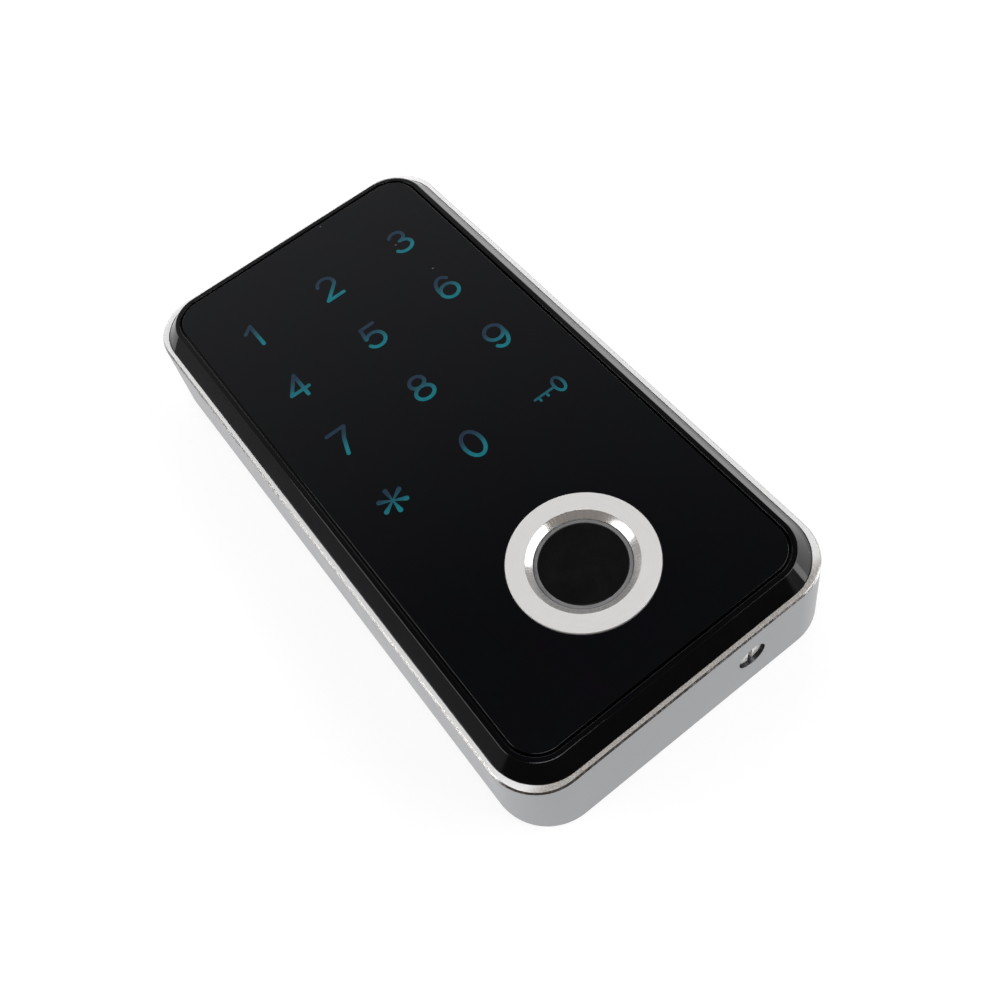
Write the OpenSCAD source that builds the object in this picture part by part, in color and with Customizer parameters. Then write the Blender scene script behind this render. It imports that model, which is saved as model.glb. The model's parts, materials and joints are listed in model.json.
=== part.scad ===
// Wall-mounted fingerprint terminal with a touch keypad.
// +X is to the right, +Y towards the first row of keys, +Z out of the front.
// The origin is the centre of the rear plane. Millimetres.

/* [Housing] */
// Width across the rear edge
base_w = 61; // [60:0.5:66]
// Length along the rear edge
base_l = 118; // [117:0.5:126]
// Plan radius of the rear edge's corners
base_r = 9.2; // [8.8:0.1:10]
// Lean of each wall between the rear edge and the rim
wall_lean = 0.7; // [0.3:0.1:0.9]
// Height of the rim above the rear plane
rim_z = 15.4; // [15.2:0.1:17]
// Polished chamfer round the rim
rim_chamfer = 0.3; // [0.3:0.1:0.7]

/* [Front] */
// Width of the metal rim, chamfer included
rim_band = 1; // [0.8:0.1:1.1]
// Rise of the bezel above the rim
bezel_rise = 2.6; // [2.4:0.1:3]
// Width of the bezel's sloping edge
bevel_run = 2.2; // [2:0.1:2.5]
// Width of the flat ledge inside the slope
ledge_band = 0.85; // [0.6:0.05:1]
// Gap round the lens
lens_gap = 0.45; // [0.3:0.05:0.6]
// Thickness of the lens
lens_t = 1.4; // [1.2:0.1:1.6]

/* [Keypad] */
// Distance between key columns
key_pitch_x = 16; // [14:0.5:16]
// Distance between key rows
key_pitch_y = 15; // [14:0.5:15]
// Height of the top row of keys above the centre
key_top_y = 39; // [37:0.5:40]
// Width of a legend's stroke
legend_stroke = 0.7; // [0.6:0.05:0.9]

/* [Fingerprint sensor] */
// Distance of the sensor below the centre
sensor_drop = 34.1; // [33.5:0.1:35]
// Outer radius of the metal ring
ring_r = 11.75; // [11.5:0.05:12]
// Radius where the ring's flat face ends
ring_face_r = 8.7; // [8.5:0.1:9]
// Radius of the opening in the ring
ring_bore_r = 7.6; // [7.5:0.05:7.8]
// Radius of the sensing disc
window_r = 6.9; // [6.6:0.1:6.9]

/* [Mounting] */
// Distance between the inner pair of wall holes
wall_pitch_small = 60; // [58:0.5:62]
// Distance between the outer pair of wall holes
wall_pitch_large = 83.3; // [80:0.1:86]
// Radius of the wall holes
wall_hole_r = 2.1; // [1.8:0.1:2.3]
// Distance of the security screw to the right of the centre
screw_x = 11.5; // [10:0.5:13]
// Height of the security screw
screw_z = 8.5; // [8:0.1:9]

/* [Hidden] */
$fn = 64;
small = 0.01;
over = 1;

// Levels, from the wall outwards
plate_t = 1.2;
cover_z = 3.6;
cover_t = 1.6;
cover_top = cover_z + cover_t;
gasket_t = 0.6;
rear_ledge_z = cover_top + gasket_t;
pcb_z = 7.2;
pcb_t = 1.4;
pcb_top = pcb_z + pcb_t;
ledge_drop = 2;
front_ledge_z = rim_z - ledge_drop;
floor_drop = 0.5;
bezel_floor_z = rim_z - floor_drop;
front_z = rim_z + bezel_rise;
adhesive_t = 0.2;
lens_z = front_z - lens_t;
pocket_z = lens_z - adhesive_t;
legend_t = 0.04;

// Outlines, from the outside in
rim_w = base_w - 2 * wall_lean;
rim_l = base_l - 2 * wall_lean;
rim_r = base_r - wall_lean;
bezel_w = rim_w - 2 * rim_band;
bezel_l = rim_l - 2 * rim_band;
bezel_r = rim_r;
bezel_fit = 0.05;
pocket_inset = bevel_run + ledge_band;
pocket_w = bezel_w - 2 * pocket_inset;
pocket_l = bezel_l - 2 * pocket_inset;
pocket_r = bezel_r - pocket_inset;
lens_w = pocket_w - 2 * lens_gap;
lens_l = pocket_l - 2 * lens_gap;
lens_r = pocket_r - lens_gap;
rear_wall = 2.2;
side_wall = 3;
rear_room_w = base_w - 2 * rear_wall;
rear_room_l = base_l - 2 * rear_wall;
rear_room_r = base_r - rear_wall;
room_w = base_w - 2 * side_wall;
room_top_y = base_l / 2 - side_wall;
room_r = base_r - side_wall;

// Bulkhead between the electronics and the security screw
bulkhead_y = -49.5;
bulkhead_t = 1.5;
screw_room_w = 16;

// Fixing points
cover_screw_tip = 9.5;
cover_pilot_top = 10;
cover_screw_at = [[-23.5, 51.5], [23.5, 51.5], [-23.5, -45.2], [23.5, -45.2]];
bezel_screw_at = [[-24.2, 25], [24.2, 25], [-24.2, -18], [24.2, -18]];
pcb_screw_at = [[-18.5, 43], [18.5, 43], [-18.5, -37.5], [18.5, -37.5]];
lug_r = 3.2;
lug_top = 12;
tab_z = 10;
boss_r = 2.2;
pilot_r = 1;
snug = 0.02;
free_fit = 0.1;
blind = 0.5;
screw_head_r = 1.8;
screw_head_h = 1.2;

// Touch board and its window in the bezel
touch_w = 42;
touch_l = 62;
touch_y = key_top_y - 1.5 * key_pitch_y;
touch_gap = 0.3;
touch_corner = 1;
window_corner = 1.5;
diffuser_t = 0.4;
touch_t = 1;
touch_top = lens_z - diffuser_t;
touch_z = touch_top - touch_t;
led_hole_r = 1.2;
led_size = [3.2, 1.6, 0.7];

// Sensor stack
sensor_y = -sensor_drop;
ring_proud = 0.3;
ring_top = front_z + ring_proud;
ring_flange_t = 0.7;
ring_flange_z = ring_top - ring_flange_t;
ring_chamfer_h = 0.85;
ring_edge = 0.12;
gasket_ring_t = 0.2;
seat_z = ring_flange_z - gasket_ring_t;
ring_seat_gap = 0.1;
neck_r = 9.4;
neck_gap = 0.1;
neck_z = 11.8;
nut_t = 1.6;
nut_r = 12.4;
frame_gap = 0.05;
frame_r = ring_bore_r - frame_gap;
frame_drop = 0.9;
frame_top = ring_top - frame_drop;
window_drop = 0.1;
window_top = frame_top - window_drop;
window_t = 0.8;
window_gap = 0.03;
chip_t = 0.8;
chip_w = 9;
chip_gap = 0.05;
sensor_board_t = 1;
socket_h = 1.4;
socket_size = [8, 3, socket_h];

// Security screw
head_r = 2.4;
screw_hole_r = 2.5;
screw_shank_r = 1.5;
screw_seat_depth = 3.1;
screw_seat_y = -base_l / 2 + screw_seat_depth;
screw_wall = 4.4;
washer_t = 0.4;
head_t = 1.8;
head_edge = 0.4;
shank_len = 5;
screw_run = 0.05;
tab_y = -54.2;
tab_t = 1.5;
tab_w = 9;
tab_above_screw = 3;

// Cable window through the wall plate and the rear cover
cable_w = 24;
cable_l = 24;
block_size = [25, 7.6];
block_y = -1.5;
block_z = 2;
way_pitch = 3;
way_count = 8;
clamp_depth = 1.8;
clamp_r = 1.15;
clamp_run = 0.05;

function arc(c, rx, ry, a0, a1, n = 16) =
  [for (i = [0:n]) let (a = a0 + (a1 - a0) * i / n) [c[0] + rx * cos(a), c[1] + ry * sin(a)]];

function direction(p, i) =
  let (a = p[max(i - 1, 0)], b = p[min(i + 1, len(p) - 1)], d = b - a) d / norm(d);

function side(p, half) =
  [for (i = [0:len(p) - 1]) let (d = direction(p, i)) p[i] + half * [-d[1], d[0]]];

function turned(p, a) = [p[0] * cos(a) - p[1] * sin(a), p[0] * sin(a) + p[1] * cos(a)];

function backwards(p) = [for (i = [len(p) - 1:-1:0]) p[i]];

function cap(centre, d, half, n = 10) =
  let (a = atan2(d[1], d[0]))
    [for (i = [1:n - 1]) let (b = a - 90 + 180 * i / n) centre + half * [cos(b), sin(b)]];

// Outline of a round-ended stroke along a path, anticlockwise
function stroke_outline(p, half) =
  concat(
    side(p, -half),
    cap(p[len(p) - 1], direction(p, len(p) - 1), half),
    backwards(side(p, half)),
    cap(p[0], -direction(p, 0), half)
  );

module stroke(p, w = legend_stroke) {
  polygon(stroke_outline(p, w / 2));
}

module loop(c, rx, ry, w = legend_stroke) {
  step = 6;
  last = 360 - step;
  difference() {
    polygon(arc(c, rx + w / 2, ry + w / 2, 0, last, last / step));
    polygon(arc(c, rx - w / 2, ry - w / 2, 0, last, last / step));
  }
}

// Outline with corner arcs, drawn from straight strips and true circles
module rounded(w, l, r) {
  square([w - 2 * r, l], center = true);
  square([w, l - 2 * r], center = true);
  for (sx = [-1, 1], sy = [-1, 1])
    translate([sx * (w / 2 - r), sy * (l / 2 - r)])
      circle(r);
}

module slab(w, l, r, z0, z1) {
  translate([0, 0, z0])
    linear_extrude(z1 - z0)
      rounded(w, l, r);
}

// A slab whose four sides lean in by the same amount
module leaning_slab(w, l, r, lean, z0, z1) {
  h = z1 - z0;
  translate([0, 0, z0]) {
    for (sx = [-1, 1], sy = [-1, 1])
      translate([sx * (w / 2 - r), sy * (l / 2 - r), 0])
        cylinder(h = h, r1 = r, r2 = r - lean);
    translate([0, l / 2 - r, 0])
      rotate([90, 0, 0])
        linear_extrude(l - 2 * r)
          polygon([[-w / 2, 0], [w / 2, 0], [w / 2 - lean, h], [-w / 2 + lean, h]]);
    translate([-(w / 2 - r), 0, 0])
      rotate([90, 0, 90])
        linear_extrude(w - 2 * r)
          polygon([[-l / 2, 0], [l / 2, 0], [l / 2 - lean, h], [-l / 2 + lean, h]]);
  }
}

module box_at(x, y, z, size) {
  translate([x - size[0] / 2, y - size[1] / 2, z])
    cube(size);
}

module tube(r_out, r_in, z0, z1) {
  translate([0, 0, z0])
    difference() {
      cylinder(h = z1 - z0, r = r_out);
      translate([0, 0, -over])
        cylinder(h = z1 - z0 + 2 * over, r = r_in);
    }
}

module drill(x, y, z0, z1, r) {
  translate([x, y, z0])
    cylinder(h = z1 - z0, r = r);
}

module screw_up(x, y, z_head, z_tip, r) {
  translate([x, y, 0])
    difference() {
      union() {
        translate([0, 0, z_head - screw_head_h])
          cylinder(h = screw_head_h, r = screw_head_r);
        translate([0, 0, z_head - small])
          cylinder(h = z_tip - z_head + small, r = r);
      }
      cross_slot(z_head - screw_head_h);
    }
}

module cross_slot(z) {
  slot_w = 0.4;
  slot_l = 2;
  depth = 0.6;
  translate([-slot_l / 2, -slot_w / 2, z - over])
    cube([slot_l, slot_w, over + depth]);
  translate([-slot_w / 2, -slot_l / 2, z - over])
    cube([slot_w, slot_l, over + depth]);
}

// Drops a shape on every key, row by row
module at_keys() {
  for (row = [0:3], column = [-1:1])
    translate([column * key_pitch_x, key_top_y - row * key_pitch_y, 0])
      children();
}

module housing() {
  color("silver")
    difference() {
      union() {
        difference() {
          union() {
            leaning_slab(base_w, base_l, base_r, wall_lean, 0, rim_z - rim_chamfer);
            leaning_slab(rim_w, rim_l, rim_r, rim_chamfer, rim_z - rim_chamfer, rim_z);
          }
          slab(bezel_w + 2 * bezel_fit, bezel_l + 2 * bezel_fit, bezel_r, front_ledge_z, rim_z + over);
          slab(rear_room_w, rear_room_l, rear_room_r, -over, rear_ledge_z);
          electronics_room();
          screw_room();
        }
        cover_lugs();
        bezel_tabs();
      }
      for (p = cover_screw_at)
        drill(p[0], p[1], cover_top - over, cover_pilot_top, pilot_r + snug);
      for (p = bezel_screw_at)
        drill(p[0], p[1], tab_z - over, lug_top + over, pilot_r + free_fit);
      security_screw_hole();
      tongue_pockets();
    }
}

module electronics_room() {
  length = room_top_y - bulkhead_y;
  translate([0, (room_top_y + bulkhead_y) / 2, 0])
    slab(room_w, length, room_r, rear_ledge_z - over, front_ledge_z + over);
}

module screw_room() {
  y0 = -base_l / 2 + screw_wall;
  translate([screw_x - screw_room_w / 2, y0, rear_ledge_z - over])
    cube([screw_room_w, bulkhead_y - bulkhead_t - y0, front_ledge_z - rear_ledge_z]);
}

// Screw posts in the corners, tied to the side walls
module cover_lugs() {
  for (p = cover_screw_at) {
    reach = room_w / 2 + small - abs(p[0]);
    drill(p[0], p[1], cover_top, lug_top, lug_r);
    translate([p[0] > 0 ? p[0] : p[0] - reach, p[1] - lug_r + small, rear_ledge_z])
      cube([reach, 2 * lug_r - 2 * small, lug_top - rear_ledge_z]);
  }
}

module bezel_tabs() {
  depth = 6;
  for (p = bezel_screw_at)
    translate([p[0] > 0 ? room_w / 2 - depth : -room_w / 2 - small, p[1] - depth / 2, tab_z])
      cube([depth + small, depth, lug_top - tab_z]);
}

module security_screw_hole() {
  translate([screw_x, -base_l / 2 - over, screw_z])
    rotate([-90, 0, 0]) {
      cylinder(h = over + screw_seat_y + base_l / 2, r = screw_hole_r);
      cylinder(h = over + screw_wall + over, r = screw_shank_r + screw_run);
    }
}

tongue_x = 14;
tongue_w = 8;
tongue_z = 1.3;
tongue_t = 1.2;
tongue_reach = 1;

// Pockets in the top end wall for the wall plate's tongues
module tongue_pockets() {
  gap = 0.15;
  for (s = [-1, 1])
    translate([s * tongue_x - tongue_w / 2 - gap, rear_room_l / 2 - over, tongue_z - gap])
      cube([tongue_w + 2 * gap, over + tongue_reach + gap, tongue_t + 2 * gap]);
}

module front_bezel() {
  skirt = 2;
  inner_w = bezel_w - 2 * skirt;
  inner_l = bezel_l - 2 * skirt;
  color([0.02, 0.02, 0.025])
    difference() {
      union() {
        difference() {
          union() {
            slab(bezel_w, bezel_l, bezel_r, front_ledge_z, rim_z);
            leaning_slab(bezel_w, bezel_l, bezel_r, bevel_run, rim_z, front_z);
          }
          slab(pocket_w, pocket_l, pocket_r, pocket_z, front_z + over);
          slab(inner_w, inner_l, bezel_r - skirt, front_ledge_z - over, bezel_floor_z);
        }
        for (p = bezel_screw_at)
          drill(p[0], p[1], lug_top + small, bezel_floor_z + small, boss_r);
      }
      translate([0, touch_y, 0])
        slab(touch_w + 2 * touch_gap, touch_l + 2 * touch_gap, window_corner, bezel_floor_z - over, front_z);
      drill(0, sensor_y, bezel_floor_z - over, front_z, neck_r + 2 * neck_gap);
      for (p = bezel_screw_at)
        drill(p[0], p[1], lug_top - over, bezel_floor_z + blind, pilot_r + snug);
    }
}

module touch_lens() {
  color([0.01, 0.01, 0.015])
    difference() {
      slab(lens_w, lens_l, lens_r, lens_z, front_z);
      drill(0, sensor_y, lens_z - over, front_z + over, neck_r + neck_gap);
      drill(0, sensor_y, seat_z, front_z + over, ring_r + ring_seat_gap);
    }
}

module lens_adhesive() {
  inset = 0.6;
  band = 2;
  color([0.1, 0.1, 0.1])
    difference() {
      slab(lens_w - 2 * inset, lens_l - 2 * inset, lens_r - inset, pocket_z, lens_z);
      translate([0, touch_y, 0])
        slab(touch_w + 2 * touch_gap, touch_l + 2 * touch_gap, window_corner, pocket_z - over, lens_z + over);
      drill(0, sensor_y, pocket_z - over, lens_z + over, neck_r + neck_gap + band);
    }
}

// The legends lie on the lens: ten digits, an asterisk and a key sign
module key_legends() {
  color([0.12, 0.6, 0.65])
    translate([0, 0, front_z])
      linear_extrude(legend_t)
        for (i = [0:11])
          translate([(i % 3 - 1) * key_pitch_x, key_top_y - floor(i / 3) * key_pitch_y])
            legend(i);
}

module legend(i) {
  if (i == 0) digit_one();
  if (i == 1) digit_two();
  if (i == 2) digit_three();
  if (i == 3) digit_four();
  if (i == 4) digit_five();
  if (i == 5) digit_six();
  if (i == 6) digit_seven();
  if (i == 7) digit_eight();
  if (i == 8) rotate(180) digit_six();
  if (i == 9) asterisk();
  if (i == 10) digit_zero();
  if (i == 11) key_sign();
}

// Half height and half width of a digit's centre line
dh = 2.6;
dw = 1.65;

module digit_one() {
  stroke([[0.45, dh], [0.45, -dh]]);
  stroke([[0.45, dh], [-1.1, 1.45]]);
}

module digit_two() {
  bowl = arc([0, 1.1], 1.6, 1.5, 168, -32);
  stroke(concat(bowl, [[-1.65, -dh]]));
  stroke([[-1.65, -dh], [1.65, -dh]]);
}

module digit_three() {
  stroke(arc([-0.05, 1.4], 1.4, 1.2, 152, -90));
  stroke(arc([-0.05, -1.2], 1.7, 1.4, 90, -160));
}

module digit_four() {
  stroke([[0.75, dh], [0.75, -dh]]);
  stroke([[0.75, dh], [-1.75, -1.1]]);
  stroke([[-1.75, -1.1], [1.7, -1.1]]);
}

module digit_five() {
  stroke([[-1.1, dh], [1.45, dh]]);
  stroke([[-1.1, dh], [-1.4, 0.1]]);
  stroke(arc([0, -0.9], 1.7, 1.7, 145, -158));
}

module digit_six() {
  loop([0, -0.95], dw, dw);
  stroke(arc([0, 0], dw, dh, 195, 45));
}

module digit_seven() {
  stroke([[-1.7, dh], [1.7, dh]]);
  stroke([[1.7, dh], [0.5, 0.5], [-0.55, -dh]]);
}

module digit_eight() {
  loop([0, 1.4], 1.35, 1.2);
  loop([0, -1.2], dw, 1.4);
}

module digit_zero() {
  loop([0, 0], dw, dh);
}

// Six drop-shaped arms, joined where their sides meet near the middle
module asterisk() {
  arms = 6;
  turn = 360 / arms;
  reach = 2.25;
  drop_r = 0.43;
  drop_end = 100;
  notch_r = 0.28;
  drop = arc([reach, 0], drop_r, drop_r, drop_end, -drop_end, 14);
  polygon([
    for (i = [0:arms - 1])
      let (a = 90 - i * turn)
        each concat([turned([notch_r, 0], a + turn / 2)], [for (p = drop) turned(p, a)])
  ]);
}

module key_sign() {
  w = 0.45;
  bow_w = 0.55;
  y = -0.13;
  teeth = [-2.65, -1.15];
  tooth_l = 0.75;
  loop([1.55, y], 0.87, 1.5, bow_w);
  stroke([[0.7, y], [-3.4, y]], w);
  for (x = teeth)
    stroke([[x, y], [x, y - tooth_l]], w);
}

module light_diffuser() {
  color("white")
    translate([0, touch_y, 0])
      slab(touch_w, touch_l, touch_corner, touch_top, lens_z);
}

module touch_pcb() {
  color("darkgreen")
    difference() {
      translate([0, touch_y, 0])
        slab(touch_w, touch_l, touch_corner, touch_z, touch_top);
      at_keys()
        drill(0, 0, touch_z - over, touch_top + over, led_hole_r);
    }
}

module key_leds() {
  color("lightyellow")
    at_keys()
      box_at(0, 0, touch_z - led_size[2], led_size);
}

module touch_controller() {
  size = [6, 6, 1];
  color([0.12, 0.12, 0.12])
    box_at(0, touch_y, touch_z - size[2], size);
}

module sensor_ring() {
  color("silver")
    translate([0, sensor_y, 0])
      difference() {
        union() {
          translate([0, 0, ring_top - ring_edge])
            cylinder(h = ring_edge, r1 = ring_r, r2 = ring_r - ring_edge);
          translate([0, 0, ring_flange_z])
            cylinder(h = ring_flange_t - ring_edge, r = ring_r);
          translate([0, 0, neck_z])
            cylinder(h = ring_flange_z - neck_z + small, r = neck_r);
        }
        translate([0, 0, neck_z - over])
          cylinder(h = ring_top - neck_z + 2 * over, r = ring_bore_r);
        translate([0, 0, ring_top - ring_chamfer_h])
          cylinder(h = ring_chamfer_h + small, r1 = ring_bore_r, r2 = ring_face_r);
      }
}

module sensor_gasket() {
  margin = 0.4;
  color([0.08, 0.08, 0.08])
    translate([0, sensor_y, 0])
      tube(ring_r - margin, neck_r + neck_gap + snug, seat_z, ring_flange_z);
}

module sensor_nut() {
  sides = 6;
  color("gray")
    translate([0, sensor_y, bezel_floor_z - nut_t])
      difference() {
        cylinder(h = nut_t, r = nut_r, $fn = sides);
        translate([0, 0, -over])
          cylinder(h = nut_t + 2 * over, r = neck_r + snug);
      }
}

module sensor_frame() {
  shelf_z = window_top - window_t;
  shelf_hole = 0.2;
  chip_room = chip_w + 2 * chip_gap;
  color("dimgray")
    translate([0, sensor_y, 0])
      difference() {
        tube(frame_r, chip_w / 2 + shelf_hole, neck_z, frame_top);
        translate([0, 0, shelf_z])
          cylinder(h = frame_top, r = window_r + window_gap);
        translate([0, 0, neck_z - over])
          cylinder(h = shelf_z - chip_t - neck_z + over, r = window_r);
        box_at(0, 0, shelf_z - chip_t - over, [chip_room, chip_room, chip_t + 2 * over]);
      }
}

module sensor_window() {
  edge = 0.1;
  color([0.02, 0.02, 0.02])
    translate([0, sensor_y, 0]) {
      translate([0, 0, window_top - window_t])
        cylinder(h = window_t - edge, r = window_r);
      translate([0, 0, window_top - edge])
        cylinder(h = edge, r1 = window_r, r2 = window_r - edge);
    }
}

module sensor_chip() {
  color([0.15, 0.15, 0.17])
    box_at(0, sensor_y, window_top - window_t - chip_t, [chip_w, chip_w, chip_t]);
}

sensor_board_z = window_top - window_t - chip_t - sensor_board_t;

module sensor_board() {
  margin = 0.2;
  color("darkgreen")
    drill(0, sensor_y, sensor_board_z, sensor_board_z + sensor_board_t, window_r - margin);
}

module sensor_connector() {
  color("ivory")
    box_at(0, sensor_y, sensor_board_z - socket_h, socket_size);
}

ribbon_w = 6;
ribbon_t = 0.2;
ribbon_socket_y = -17;

// Flat flexible cable: down from the sensor, forward and into its socket
module sensor_ribbon() {
  z0 = sensor_board_z - socket_h;
  rise = 1.2;
  start_shift = 1;
  end_shift = 0.5;
  bend = 0.8;
  z1 = pcb_top + socket_h + rise;
  y_start = sensor_y + start_shift;
  y_end = ribbon_socket_y - end_shift;
  route = concat(
    [[y_start, z0]],
    arc([y_start + bend, z1 + bend], bend, bend, 180, 270, 8),
    arc([y_end - bend, z1 - bend], bend, bend, 90, 0, 8),
    [[y_end, pcb_top + socket_h]]
  );
  color("sienna")
    translate([-ribbon_w / 2, 0, 0])
      rotate([90, 0, 90])
        linear_extrude(ribbon_w)
          polygon(concat(side(route, ribbon_t / 2), backwards(side(route, -ribbon_t / 2))));
}

module main_pcb() {
  width = 43.6;
  y0 = -41.4;
  y1 = 47;
  corner = 1.5;
  color("darkgreen")
    difference() {
      translate([0, (y0 + y1) / 2, 0])
        slab(width, y1 - y0, corner, pcb_z, pcb_top);
      for (p = pcb_screw_at)
        drill(p[0], p[1], pcb_z - over, pcb_top + over, pilot_r + free_fit);
    }
}

// Places and sizes of the components on the main board
processor_at = [-9, 8];
processor_size = [10, 10, 1.2];
memory_at = [2, 10];
memory_size = [5.2, 5.2, 1.6];
regulator_at = [-13, 25];
regulator_size = [6.5, 6, 2.2];
crystal_at = [-9, 17];
crystal_size = [8, 3.6, 2.4];
relay_at = [-11, -8];
relay_size = [15, 7.4, 4.6];
buzzer_at = [12, -7];
capacitor_at = [[14, 14], [14, 21]];

module on_board(p, size) {
  box_at(p[0], p[1], pcb_top, size);
}

module processor() {
  color([0.12, 0.12, 0.12])
    on_board(processor_at, processor_size);
}

module flash_memory() {
  color([0.12, 0.12, 0.12])
    on_board(memory_at, memory_size);
}

module regulator() {
  color([0.14, 0.14, 0.14])
    on_board(regulator_at, regulator_size);
}

module crystal() {
  color("silver")
    on_board(crystal_at, crystal_size);
}

module relay() {
  color([0.1, 0.2, 0.45])
    on_board(relay_at, relay_size);
}

module buzzer() {
  radius = 4.5;
  height = 4;
  sound_hole_r = 0.9;
  cap_t = 1;
  color([0.1, 0.1, 0.1])
    translate([buzzer_at[0], buzzer_at[1], 0])
      difference() {
        drill(0, 0, pcb_top, pcb_top + height, radius);
        drill(0, 0, pcb_top + height - cap_t, pcb_top + height + over, sound_hole_r);
      }
}

module capacitors() {
  radius = 2.5;
  height = 4.4;
  color([0.15, 0.2, 0.35])
    for (p = capacitor_at)
      drill(p[0], p[1], pcb_top, pcb_top + height, radius);
}

module ribbon_socket() {
  color("ivory")
    on_board([0, ribbon_socket_y], socket_size);
}

header_y = 34;
header_pitch = 2;
header_count = 8;
header_pin_w = 0.5;

// Strip that joins the main board to the touch board
module board_header() {
  length = header_pitch * header_count;
  width = 2;
  color([0.08, 0.08, 0.08])
    difference() {
      on_board([0, header_y], [length, width, touch_z - pcb_top]);
      header_grid(pcb_top - over, touch_z + over);
    }
}

module header_grid(z0, z1) {
  for (i = [0:header_count - 1])
    box_at((i - (header_count - 1) / 2) * header_pitch, header_y, z0, [header_pin_w, header_pin_w, z1 - z0]);
}

module header_pins() {
  color("gold")
    header_grid(pcb_top, touch_z);
}

// Wire clamps that face the cable window
module terminal_block() {
  mouth = [2.2, 3.4, 2.2];
  mouth_z = 2.2;
  color([0.1, 0.35, 0.2])
    difference() {
      box_at(0, block_y, block_z, [block_size[0], block_size[1], pcb_z - block_z]);
      for (i = [0:way_count - 1]) {
        x = (i - (way_count - 1) / 2) * way_pitch;
        drill(x, block_y, block_z - over, block_z + clamp_depth, clamp_r + clamp_run);
        box_at(x, block_y + block_size[1] / 2, block_z + mouth_z, mouth);
      }
    }
}

module terminal_screws() {
  head_drop = 0.6;
  slot = [3, 0.4, 1];
  color("silver")
    for (i = [0:way_count - 1])
      translate([(i - (way_count - 1) / 2) * way_pitch, block_y, 0])
        difference() {
          drill(0, 0, block_z + head_drop, block_z + clamp_depth, clamp_r);
          box_at(0, 0, block_z, slot);
        }
}

switch_size = [6, 6, 1.5];
tamper_at = [-15, 24];
reset_at = [15, 24];
plunger_r = 1.5;
plunger_run = 0.05;
plunger_top = 6.3;
switch_floor = 0.2;
plunger_touch = 0.05;
button_recess = 0.4;

module button_switch(p) {
  difference() {
    box_at(p[0], p[1], pcb_z - switch_size[2], switch_size);
    drill(p[0], p[1], pcb_z - switch_size[2] - over, pcb_z - switch_floor, plunger_r + plunger_run);
  }
}

module tamper_switch() {
  color([0.15, 0.15, 0.15])
    button_switch(tamper_at);
}

module tamper_plunger() {
  color("whitesmoke")
    drill(tamper_at[0], tamper_at[1], plate_t + plunger_touch, plunger_top, plunger_r);
}

module reset_switch() {
  color([0.15, 0.15, 0.15])
    button_switch(reset_at);
}

module reset_button() {
  color("firebrick")
    drill(reset_at[0], reset_at[1], cover_z + button_recess, plunger_top, plunger_r);
}

module rear_cover() {
  gap = 0.2;
  notch_gap = 0.6;
  post_r = 2.5;
  post_floor = 0.6;
  window_margin = 1;
  color([0.13, 0.13, 0.14])
    difference() {
      union() {
        slab(rear_room_w - 2 * gap, rear_room_l - 2 * gap, rear_room_r - gap, cover_z, cover_top);
        for (p = pcb_screw_at)
          drill(p[0], p[1], cover_z, pcb_z, post_r);
      }
      for (p = pcb_screw_at)
        drill(p[0], p[1], cover_z + post_floor, pcb_z + over, pilot_r + snug);
      for (p = cover_screw_at)
        drill(p[0], p[1], cover_z - over, cover_top + over, pilot_r + 2 * free_fit);
      for (p = [tamper_at, reset_at])
        drill(p[0], p[1], cover_z - over, cover_top + over, plunger_r + free_fit);
      box_at(0, 0, cover_z - over, [block_size[0] + 2 * window_margin, cable_l, cover_t + 2 * over]);
      translate([screw_x - tab_w / 2 - notch_gap, -base_l / 2, cover_z - over])
        cube([tab_w + 2 * notch_gap, base_l / 2 + tab_y + tab_t + notch_gap, cover_t + 2 * over]);
    }
}

// Closed seal round the electronics room
module rear_gasket() {
  margin = 0.1;
  outer_w = rear_room_w - 2 * margin;
  outer_y = rear_room_l / 2 - margin;
  outer_y0 = bulkhead_y - bulkhead_t + margin;
  inner_y0 = bulkhead_y - margin;
  inner_y1 = room_top_y + margin;
  color([0.06, 0.06, 0.06])
    difference() {
      translate([0, (outer_y + outer_y0) / 2, 0])
        slab(outer_w, outer_y - outer_y0, rear_room_r - margin, cover_top, rear_ledge_z);
      translate([0, (inner_y1 + inner_y0) / 2, 0])
        slab(room_w + 2 * margin, inner_y1 - inner_y0, room_r + margin, cover_top - over,
          rear_ledge_z + over);
    }
}

module cover_screws() {
  color("gray")
    for (p = cover_screw_at)
      screw_up(p[0], p[1], cover_z, cover_screw_tip, pilot_r);
}

module pcb_screws() {
  tip_gap = 0.8;
  tip_z = cover_z + tip_gap;
  color("gray")
    for (p = pcb_screw_at)
      translate([p[0], p[1], 0])
        difference() {
          union() {
            drill(0, 0, pcb_top, pcb_top + screw_head_h, screw_head_r);
            drill(0, 0, tip_z, pcb_top + small, pilot_r);
          }
          translate([0, 0, 2 * (pcb_top + screw_head_h)])
            mirror([0, 0, 1])
              cross_slot(pcb_top + screw_head_h);
        }
}

module bezel_screws() {
  color("gray")
    for (p = bezel_screw_at)
      screw_up(p[0], p[1], tab_z, bezel_floor_z, pilot_r);
}

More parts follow.
